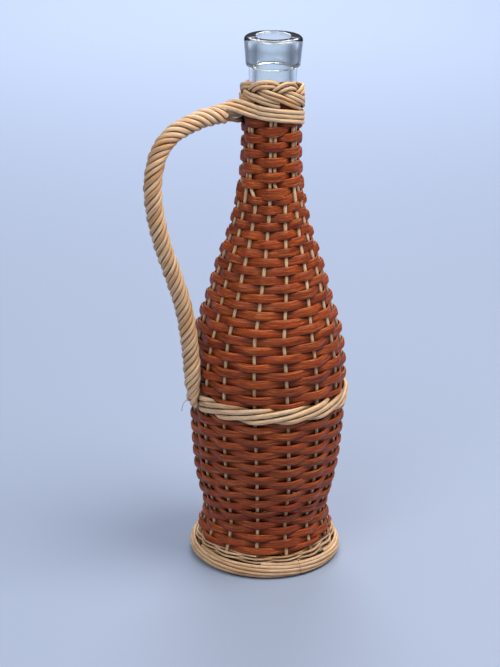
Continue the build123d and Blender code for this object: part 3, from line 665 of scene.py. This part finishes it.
def stiff_wave(half_turns):
    """A wave from -1 to 1 like a stiff cane's: nearly straight between its rounded crests.

    It is the arcsine of the stiffness times the cosine, over the arcsine of the stiffness.
    """
    return np.arcsin(WEAVER_STIFFNESS * np.cos(np.pi * half_turns)) / math.asin(WEAVER_STIFFNESS)


def foot_line(angle):
    """Height of the brown weave's lower edge at angles round the foot."""
    return round_line(FOOT_LINE, angle)


def body_weaver(first, last, height_of, tall, seed, thin=None, ends=(0.0, 0.0), floor=None, roof=None):
    """A weaver from stake first to stake last, in front of one stake and behind the next.

    Its line swings as a stiff wave from the stakes' front to their back, once in two stakes. Its
    height goes from tall[0] behind a stake to tall[1] halfway and tall[2] in front of one, so
    the rows close over each other, but it keeps between the floor and the roof that it is packed
    against, each a line round the jacket. Small seeded shifts keep any two rows from being alike.
    """
    start, end = first - ends[0], last + ends[1]
    crossing = np.linspace(start, end, int((end - start) * WEAVER_STEPS) + 1)
    z = height_of(crossing)
    swing = -stiff_wave(crossing - SHOWN_STAKE)
    body = weaver_thickness(z) if thin is None else np.full(len(z), thin)
    front = np.maximum(body, WEAVER_FRONT) if thin is None else body
    thick = body + (front - body) * np.maximum(swing, 0)
    reach = np.where(swing > 0, STAKE_RADIUS + FRONT_AIR, STAKE_RADIUS * BEHIND_SHARE) + thick / 2
    low, middle, high = tall(crossing) if callable(tall) else tall
    height = middle + np.where(swing > 0, (high - middle), (middle - low)) * swing
    height = height * uneven(0.05, crossing, 1.0, seed + 1)
    z = z + 0.16 * wander(crossing, 1.6, seed + 2)
    angle = gap_angle(crossing, z)
    under = z - height / 2 if floor is None else np.maximum(z - height / 2, floor(angle))
    over = z + height / 2 if roof is None else np.minimum(z + height / 2, roof(angle))
    z, height = (under + over) / 2, np.maximum(over - under, LEAST_HEIGHT)
    normal = outward(angle, z)
    path = polar(stake_line(z), angle, z) + normal * (swing * reach)[:, None]
    return sweep(
        path, normal, thick, height, seed, **WEAVER_PROFILE,
        roll=5 * wander(crossing, 1.3, seed + 3),
        # Painted shade: the colour darkens where the weaver swings back behind a stake
        shade=0.3 * ease(-swing, 0.3, 1.0),
        tone=0.8 * wander(crossing, 2.3, seed + 4) + 0.35 * wander(crossing, 17, seed + 5),
    )


def spiral(row_z, pitch):
    """Height of a weaver at a crossing, for a spiral with a row at row_z on SHOWN_STAKE."""
    return lambda crossing: row_z + pitch * (crossing - SHOWN_STAKE) / STAKE_COUNT


def loose_fibre(index, points):
    """A fibre that has split off and stands out from the weave."""
    step = np.linspace(0, len(points) - 1, FIBRE_RINGS)
    radius, angle, z = along_rows(points, step)
    return sweep(polar(radius, angle, z), polar(1.0, angle, 0.0), FIBRE, FIBRE, 880 + index, around=6)


lower, upper = (LOWER_ROW_Z, LOWER_PITCH), (UPPER_ROW_Z, UPPER_PITCH)
lower_first, lower_last = crossing_at(LOWER_FROM, *lower), crossing_at(LOWER_TO, *lower)
upper_first, upper_last = crossing_at(UPPER_FROM, *upper), crossing_at(UPPER_TO, *upper)
splice = crossing_at(UPPER_SPLICE, *upper)
lower_weaver = body_weaver(
    lower_first, lower_last, spiral(*lower), LOWER_TALL, 100, ends=(FOOT_LAPS, END_LAPS),
    floor=foot_line, roof=lambda angle: BAND_FOOT,
)
upper_weaver_1 = body_weaver(
    upper_first, splice - 1, spiral(*upper), UPPER_TALL, 200, ends=(END_LAPS, SPLICE_TAIL),
    floor=lambda angle: BAND_HEAD,
)
upper_weaver_2 = body_weaver(
    splice, upper_last, spiral(*upper), UPPER_TALL, 300, ends=(SPLICE_HEAD, UPPER_TAIL),
)
fibres = [loose_fibre(index, points) for index, points in enumerate(LOOSE_FIBRES)]
cane_piece("lower_weaver_cane", [lower_weaver] + fibres, STAINED, "lower_weaver")
cane_piece("upper_weaver_cane_1", [upper_weaver_1], STAINED, "upper_weaver_1")
cane_piece("upper_weaver_cane_2", [upper_weaver_2], STAINED, "upper_weaver_2")

# Foot weaver: five thin rows between the border and the brown weave
foot_last = lower_first - 1
foot_first = foot_last - FOOT_ROWS * STAKE_COUNT


def foot_pitch(crossing):
    """Height of one row of the foot weaver: its rows share out the height up to the foot line."""
    return (foot_line(gap_angle(crossing, FOOT_Z)) - FOOT_LOW) / FOOT_ROWS


def foot_rise(crossing):
    """Height of the foot weaver, which climbs evenly with a little room at both ends."""
    climbed = (FOOT_ROWS - 2 * FOOT_INSET) / FOOT_ROWS * (crossing - foot_first) / STAKE_COUNT
    return FOOT_LOW + foot_pitch(crossing) * (FOOT_INSET + climbed)


def foot_tall(crossing):
    """Height of the foot weaver's cane behind a stake, halfway and in front."""
    size = np.clip(foot_pitch(crossing), FOOT_LEAST, FOOT_MOST)
    return [share * size for share in FOOT_TALL]


foot_weaver = body_weaver(foot_first, foot_last, foot_rise, foot_tall, 400, thin=FOOT_THICK)
cane_piece("foot_weaver_cane", [foot_weaver], PALE, "foot_weaver")

# Where the neck weaver takes over: the first column past the upper weaver's last crossing
columns = np.cumsum((0,) + COLUMN_STAKES[:-1])
lap = upper_last // STAKE_COUNT
past = [lap * STAKE_COUNT + first for first in columns] + [(lap + 1) * STAKE_COUNT]
start_column = next(i for i, first in enumerate(past) if first > upper_last)
start_z = UPPER_TO - UPPER_PITCH + NECK_CLEAR


def column_edges(step, z):
    """Angles of the first and last stake of the column at a step of the neck weaver."""
    turn, column = np.divmod(step + start_column, len(columns))
    first = (lap + turn) * STAKE_COUNT + columns[column]
    return stake_angle(first, z), stake_angle(first + np.array(COLUMN_STAKES)[column] - 1, z)


def neck_weaver():
    """The neck's weaver: level across a column, then a stiff swing to the next one's far side.

    Its last row that shows is packed against the lowest wrap. Where less than 2 mm of a row
    would show below the wrap, it thins, and from there on it runs behind the wraps.
    """
    steps = math.ceil((NECK_TO - start_z) / NECK_PITCH * len(columns))
    run = np.linspace(0, steps, steps * NECK_STEPS + 1)
    z = start_z + NECK_PITCH * run / len(columns)
    z = z - NECK_SETTLE * (1 - ease(run, 0.0, len(columns)))
    step = np.floor(run).astype(int)
    share = run - step
    first, last = column_edges(step, z)
    following, _ = column_edges(step + 1, z)
    across = np.clip(share / COLUMN_SHARE, 0, 1)
    gap = np.clip((share - COLUMN_SHARE) / (1 - COLUMN_SHARE), 0, 1)
    angle = first + (last - first) * across + (following - last) * gap
    swing = stiff_wave(gap) * np.where(step % 2 == 0, 1, -1)
    height = NECK_TALL + np.where(swing > 0, NECK_FRONT_MORE, NECK_BEHIND_LESS) * swing
    height = height * uneven(0.05, run, 1.0, 501) + NECK_FIRST * (1 - ease(run, 1.0, len(columns)))
    z = z + 0.15 * wander(run, 1.4, 502)
    roof = round_line(WRAP_LINE, angle) - WRAP_CANE / 2
    under = z - height / 2
    shown = ease(roof - under, NECK_HIDDEN, NECK_SHOWN)
    cut = np.minimum(height, np.maximum(roof - under + LEAST_HEIGHT, LEAST_HEIGHT))
    height = height + (cut - height) * shown
    z = under + height / 2
    front = NECK_THIN + (NECK_THICK - NECK_THIN) * shown
    thick = NECK_WEAVER + (front - NECK_WEAVER) * np.maximum(swing, 0)
    reach = STAKE_RADIUS + NECK_AIR + thick / 2
    normal = outward(angle, z)
    path = polar(stake_line(z), angle, z) + normal * (swing * reach)[:, None]
    return sweep(
        path, normal, thick, height, 500, **WEAVER_PROFILE,
        # Painted shade: the colour darkens where the weaver swings back behind a column
        roll=4 * wander(run, 1.2, 503), shade=0.5 * ease(-swing, 0.2, 1.0),
        tone=0.8 * wander(run, 1.7, 504) + 0.3 * wander(run, 9, 505),
    )


cane_piece("neck_weaver_cane", [neck_weaver()], STAINED, "neck_weaver")


def band_cane(index):
    """One of the band's canes: up across the front of three stakes, then down behind the fourth.

    Its phase counts stakes from where it lies behind one. Its height and its side of the stakes
    go smoothly through the path's knots.
    """
    crossing = np.linspace(BAND_FROM, BAND_TO, STAKE_COUNT * BAND_RINGS)
    phase = np.mod(crossing + index, BAND_CANES)
    climb, side = (through([(knot[0], knot[k]) for knot in BAND_PATH], phase) for k in (1, 2))
    front = np.maximum(side, 0)
    z = BAND_Z + BAND_STEP * climb + 0.12 * wander(crossing, 2.1, 600 + index)
    angle = gap_angle(crossing, z)
    thick = BAND_THICK + BAND_FRONT_MORE * front
    reach = side * (STAKE_RADIUS + SNUG / 2 + thick / 2) + BAND_STAND_OFF * front
    path = polar(stake_line(BAND_Z) + reach, angle, z)
    wide = BAND_WIDE * uneven(0.04, crossing, 1.2, 610 + index)
    return sweep(
        path, polar(1.0, angle, 0.0), thick, wide, 600 + index, **ROUND_CANE,
        # Painted shade: the colour darkens where the cane passes behind the stakes
        shade=0.5 * np.clip(-side, 0, 1), tone=0.5 * wander(crossing, 5, 620 + index),
    )


for index in range(BAND_CANES):
    cane_piece(f"band_strand_{index + 1}", [band_cane(index)], PALE, f"band_cane_{index + 1}")


def border_cane(index):
    """One of the border's canes: it rolls over from the inner top to the outer bottom in a turn."""
    share = np.linspace(0, 1, BORDER_RINGS)
    radius, height = along_rows(BORDER_ROLL, share * (len(BORDER_ROLL) - 1))
    angle = index * 360 / BORDER_CANES + BORDER_TURN * share
    size = BORDER_CANE * uneven(0.05, share * 20, 1.0, 700 + index)
    height = np.maximum(height + 0.12 * wander(share * 12, 1.0, 710 + index), size / 2)
    return sweep(
        polar(radius, angle, height), polar(1.0, angle, 0.0), size, size, 700 + index,
        tone=0.5 * wander(share * 6, 1.0, 720 + index),
    )


# The solids have one cane fewer than this border, so the last piece has two
border = [border_cane(index) for index in range(BORDER_CANES)]
for index in range(BORDER_SOLIDS):
    canes = border[index:] if index == BORDER_SOLIDS - 1 else [border[index]]
    cane_piece(f"border_strand_{index + 1}", canes, PALE, f"border_cane_{index + 1}")

# Woven base under the glass: four sticks crossing four, and two canes woven round them
stick_reach = lining(BOTTLE_FLOOR) - BASE_SIDE_GAP
stick_low = BOTTLE_FLOOR - 2 * BASE_GAP - 3 * BASE_STICK_RADIUS
stick_high = BOTTLE_FLOOR - BASE_GAP - BASE_STICK_RADIUS


def base_stick(stick, z, turn):
    """One of the sticks that lie side by side under the glass."""
    aside = (stick - (BASE_STICKS - 1) / 2) * BASE_STICK_SPACING
    run = np.linspace(-stick_reach, stick_reach, BASE_STICK_RINGS)
    path = polar(run, turn, z) + polar(aside, turn + 90, 0.0)
    size = 2 * BASE_STICK_RADIUS * uneven(0.03, run, 12, 800 + stick)
    return sweep(path, (0, 0, 1), size, size, 800 + stick, dome=0.1, tone=0.3)


def base_weaver(index):
    """One of two canes that spiral outwards, over one group of sticks and under the next."""
    turns = (stick_reach - BASE_HOLE - 2 * BASE_EDGE) / BASE_PITCH
    angle = np.linspace(0, 360 * turns, int(turns * BASE_RINGS)) + 180 * index
    radius = BASE_HOLE + BASE_EDGE + BASE_PITCH * (angle - 180 * index) / 360
    wave = np.cos(np.radians(4 * angle)) * (1 if index else -1)
    path = polar(radius, angle, BASE_Z + BASE_SWING * wave)
    return sweep(path, (0, 0, 1), BASE_THICK, BASE_WIDE, 820 + index, around=10, tone=0.2)


for name, z, turn in (("base_sticks_lower", stick_low, 0), ("base_sticks_upper", stick_high, 90)):
    sticks = [base_stick(stick, z, turn) for stick in range(BASE_STICKS)]
    cane_piece(name + "_canes", sticks, PALE, name)
cane_piece("base_ring_weave", [base_weaver(0), base_weaver(1)], PALE, "base_ring")


def collar_wrap(index):
    """A cane that leaves the handle's top, goes once round the neck and ends in the handle."""
    round_neck = [(angle, WRAP_RADIUS, z + index * WRAP_GAP) for angle, z in WRAP_LINE]
    knots = (*WRAP_STARTS[index], *round_neck, *WRAP_ENDS[index])
    step = np.linspace(0, len(knots) - 1, WRAP_RINGS)
    angle, radius, z = along_rows(knots, step)
    path = polar(radius, angle, z + 0.08 * wander(step, 1.5, 830 + index))
    size = WRAP_CANE * uneven(0.04, step, 0.8, 840 + index)
    thick, wide = (share * size for share in WRAP_OVAL)
    tone = 0.4 * wander(step, 2.5, 850 + index)
    return sweep(path, polar(1.0, angle, 0.0), thick, wide, 830 + index, tone=tone)


for index in range(len(WRAP_STARTS)):
    cane_piece(f"collar_wrap_cane_{index + 1}", [collar_wrap(index)], PALE, f"collar_wrap_{index + 1}")

COLUMN_ANGLES = np.array(neck_columns() + [neck_columns()[0] + 360])


def column_angle(column):
    """Angles of places between the columns, counted in columns from the first one."""
    turn, number = np.divmod(np.floor(column).astype(int), len(COLUMN_STAKES))
    here, after = COLUMN_ANGLES[number], COLUMN_ANGLES[number + 1]
    return here + (after - here) * (column - np.floor(column)) + 360 * turn


def loop_line(column, path):
    """Columns passed, angle, radius and height along one cane of the plait.

    Up to the path's second knot it rises straight from just above the stake's end.
    """
    step = np.linspace(0, len(path) - 1, LOOP_RINGS)
    passed, share, radius = along_rows(path, step)
    angle = column_angle(column + passed)
    foot, crown = round_line(PLAIT_FOOT, angle), round_line(PLAIT_CROWN, angle)
    butt = STAKE_TOP + LOOP_BUTT
    first = butt + (foot + (crown - foot) * path[1][1] - butt) * step
    return passed, angle, radius, np.where(step < 1, first, foot + (crown - foot) * share)


def loop_cane(column, lane, path):
    """One cane of the plait, cut off where it has passed enough columns."""
    loop_end = LAST_LOOP_END if column == len(COLUMN_STAKES) - 1 else LOOP_END
    line = np.array(loop_line(column, path))
    passed, angle, radius, z = line[:, line[0] <= loop_end]
    seed = 860 + column * 2 + lane
    size = LOOP_CANE * uneven(0.04, passed * 4, 1.0, seed)
    thick, wide = (share * size for share in LOOP_OVAL)
    tone = 0.5 * wander(passed * 2, 1.0, seed + 40)
    return sweep(polar(radius, angle, z), polar(1.0, angle, 0.0), thick, wide, seed, tone=tone)


for column in range(len(COLUMN_STAKES)):
    canes = [loop_cane(column, lane, path) for lane, path in enumerate((LOOP_LEFT, LOOP_RIGHT))]
    cane_piece(f"collar_loop_canes_{column + 1}", canes, PALE, f"collar_loop_{column + 1}")


def handle_line(distance):
    """Places, directions and outward normals of the handle's line, at distances from the neck."""
    knots = len(HANDLE_LINE) - 1
    at = np.linspace(0, knots, HANDLE_LINE_STEPS * knots + 1)
    reach, height = along_rows(HANDLE_LINE, at)
    track = np.stack([-reach, -HANDLE_LEAN * ease(at, LEAN_FROM, knots - 1), height], 1)
    length, along = run_length(track), unit(np.gradient(track, axis=0))
    place = np.stack([np.interp(distance, length, track[:, k]) for k in range(3)], 1)
    heading = unit(np.stack([np.interp(distance, length, along[:, k]) for k in range(3)], 1))
    return place, heading, np.cross(heading, (0, 1, 0))


def handle_cane(index, end):
    """One of the handle's canes: a right-handed helix round the handle's line, down to its end.

    Every second cane stands out a little and the others lie in, as in a two-by-two twist.
    """
    distance = np.linspace(HANDLE_FROM, end, int(end / HANDLE_SPACING))
    centre, along, normal = handle_line(distance)
    twist = 2 * np.pi * (distance / HANDLE_LAY + index / len(HANDLE_ENDS))
    twist = twist + 0.05 * wander(distance, 15, 870 + index)
    out = normal * np.cos(twist)[:, None] + np.cross(along, normal) * np.sin(twist)[:, None]
    thick = HANDLE_CANE * (HANDLE_OVAL[0] + 0.05 * wander(distance, 11, 880 + index))
    helix = through(HANDLE_TWIST, distance) + (HANDLE_LIFT if index % 2 == 0 else -HANDLE_LIFT)
    helix = helix + 0.12 * wander(distance, 14, 890 + index)
    return sweep(
        centre + out * helix[:, None], out, thick, thick * HANDLE_OVAL[1], 870 + index,
        **ROUND_CANE, tone=0.5 * wander(distance, 30, 900 + index),
    )


distance = np.linspace(0, HANDLE_CORE_LENGTH, CORE_RINGS)
centre, _, normal = handle_line(distance)
core_size = HANDLE_CORE * (1 - CORE_TAPER * ease(distance, CORE_TAPER_FROM, HANDLE_CORE_LENGTH))
# Painted shade: the core, lying under the handle's canes, is darkened all along its length
core = sweep(centre, normal, core_size, core_size, 868, shade=0.5)
cane_piece("handle_core_cane", [core], PALE, "handle_core")
for index, end in enumerate(HANDLE_ENDS):
    cane_piece(f"handle_strand_{index + 1}", [handle_cane(index, end)], PALE, f"handle_cane_{index + 1}")


def arc(centre, size, start, end, count):
    """Points on a circle between two angles, as radius and height."""
    turn = np.radians(np.linspace(start, end, count))
    return np.stack([centre[0] + size * np.cos(turn), centre[1] + size * np.sin(turn)], 1)


def punt(reach, base):
    """A ball's cap that rises PUNT_RISE over its edge, from the axis to the edge."""
    ball = (reach ** 2 + PUNT_RISE ** 2) / (2 * PUNT_RISE)
    turn = np.linspace(0, math.asin(reach / ball), 12)
    return np.stack([ball * np.sin(turn), base + PUNT_RISE - ball + ball * np.cos(turn)], 1)


def glass_profile():
    """Radius and height round the bottle's wall: up the outside, over the lip, down the inside."""
    z = np.linspace(HEEL_TOP, SHOULDER_FROM, 110)
    body = np.stack([lining(z) - GLASS_CLEAR, z], 1)
    heel, shoulder = body[0, 0], body[-1, 0]
    neck_z = np.linspace(SHOULDER_FROM, SHOULDER_END, 10)[1:]
    fall = ease(neck_z, SHOULDER_FROM, SHOULDER_END)
    neck = np.stack([shoulder + (NECK_RADIUS - shoulder) * fall, neck_z], 1)
    lip = BOTTLE_TOP - LIP_ROUND
    outside = [
        punt(PUNT_RADIUS, BOTTLE_FLOOR),
        arc((heel - HEEL_ROUND, BOTTLE_FLOOR + HEEL_ROUND), HEEL_ROUND, -90, 0, 12),
        body[1:], neck,
        np.linspace((NECK_RADIUS, NECK_FLARE), (NECK_TOP_RADIUS, NECK_TOP - FLARE_SHORT), 8),
        arc((NECK_TOP_RADIUS + STEP_HOLLOW, NECK_TOP), STEP_HOLLOW, 180, 90, 5),
        arc((FINISH_FOOT_RADIUS - STEP_ROUND, NECK_TOP + STEP_HOLLOW + STEP_ROUND), STEP_ROUND, -90, 0, 6),
        np.linspace((FINISH_FOOT_RADIUS + FINISH_DRAFT, FINISH_FOOT), (FINISH_TOP_RADIUS, lip), 4),
        arc((FINISH_TOP_RADIUS - LIP_ROUND, lip), LIP_ROUND, 8, 90, 10),
        arc((MOUTH_RADIUS + MOUTH_ROUND, BOTTLE_TOP - MOUTH_ROUND), MOUTH_ROUND, 90, 180, 8),
    ]
    floor = BOTTLE_FLOOR + GLASS_WALL
    inner_heel = (heel - HEEL_ROUND - INNER_HEEL_IN, floor + INNER_HEEL_UP)
    inside = [
        np.linspace((MOUTH_RADIUS, BORE_TOP), (MOUTH_RADIUS, BORE_FOOT), 18),
        (neck[:-1] - (GLASS_WALL, 0))[::-1], (body - (GLASS_WALL, 0))[::-1],
        arc(inner_heel, INNER_HEEL_ROUND, -10, -90, 8),
        punt(PUNT_INSIDE, floor)[::-1],
    ]
    return np.concatenate(outside + inside)


def glass_bottle():
    """The profile turned round the axis. The two ends of the profile each close in one point."""
    profile = glass_profile()
    ring = profile[1:-1]
    turn = 360 * np.arange(GLASS_AROUND) / GLASS_AROUND
    points = polar(ring[:, 0][:, None], turn[None], ring[:, 1][:, None]).reshape(-1, 3)
    corner, quads = tube_faces(len(ring), GLASS_AROUND)
    poles = np.array([(0, 0, profile[0, 1]), (0, 0, profile[-1, 1])])
    pole = np.full(GLASS_AROUND, len(points))
    below = np.stack([pole, np.roll(corner[0], -1), corner[0]], 1)
    above = np.stack([pole + 1, corner[-1], np.roll(corner[-1], -1)], 1)
    return np.concatenate([points, poles]), quads.tolist() + below.tolist() + above.tolist()


points, faces = glass_bottle()
mesh_piece("clear_bottle", points, faces, bottle_glass_finish(), "bottle_glass", ["glass_bottle"], {})

# Floor
floor_mesh = bpy.data.meshes.new("floor")
floor_corners = [(x * FLOOR_HALF, y * FLOOR_HALF, 0) for x, y in ((-1, -1), (1, -1), (1, 1), (-1, 1))]
floor_mesh.from_pydata(floor_corners, [], [(0, 1, 2, 3)])
matte = bpy.data.materials.new("matt paper")
paper = new_tree(matte)
sheet = add_node(
    paper, "ShaderNodeBsdfPrincipled",
    {"Base Color": linear(FLOOR_COLOUR), "Roughness": 0.9, "Specular IOR Level": 0.1},
)
add_node(paper, "ShaderNodeOutputMaterial", {"Surface": sheet.outputs[0]})
floor_mesh.materials.append(matte)
add_object("floor", floor_mesh)

# World: dark up to the horizon and pale overhead
world = bpy.data.worlds.new("studio")
bpy.context.scene.world = world
room = new_tree(world)
way = add_node(room, "ShaderNodeTexCoord").outputs["Generated"]
height = add_node(room, "ShaderNodeSeparateXYZ", {"Vector": way}).outputs["Z"]
daylight = add_node(room, "ShaderNodeValToRGB", {"Fac": height}, SKY).outputs["Color"]
sky = add_node(room, "ShaderNodeBackground", {"Color": daylight, "Strength": SKY_STRENGTH})
add_node(room, "ShaderNodeOutputWorld", {"Surface": sky.outputs[0]})

# Lamps: round soft boxes, each turned so that its back points away from what it shines at
for name, place, aim, size, power, colour in LAMPS:
    lamp = bpy.data.lights.new(name, "AREA")
    lamp.shape, lamp.size, lamp.energy, lamp.color = "DISK", size, power, linear(colour)[:3]
    back = unit(np.array(place) - np.array(aim))
    right = unit(np.cross((0, 0, 1), back))
    toward = Matrix(np.stack([right, np.cross(back, right), back], 1).tolist()).to_4x4()
    add_object(name, lamp).matrix_world = Matrix.Translation(place) @ toward

# Camera
camera = add_object("camera", bpy.data.cameras.new("camera"))
camera.data.sensor_width, camera.data.lens = SENSOR_WIDTH, LENS
around = math.radians(CAMERA_ANGLE)
camera_place = (CAMERA_REACH * math.cos(around), CAMERA_REACH * math.sin(around), CAMERA_HEIGHT)
camera.matrix_world = (
    Matrix.Translation(camera_place)
    @ Matrix.Rotation(around + math.pi / 2, 4, "Z")
    @ Matrix.Rotation(math.pi / 2 - math.radians(CAMERA_DOWN), 4, "X")
    @ Matrix.Rotation(math.radians(CAMERA_ASIDE), 4, "Y")
    @ Matrix.Rotation(math.radians(CAMERA_ROLL), 4, "Z")
)
bpy.context.scene.camera = camera
bpy.context.scene.view_settings.view_transform = "Standard"
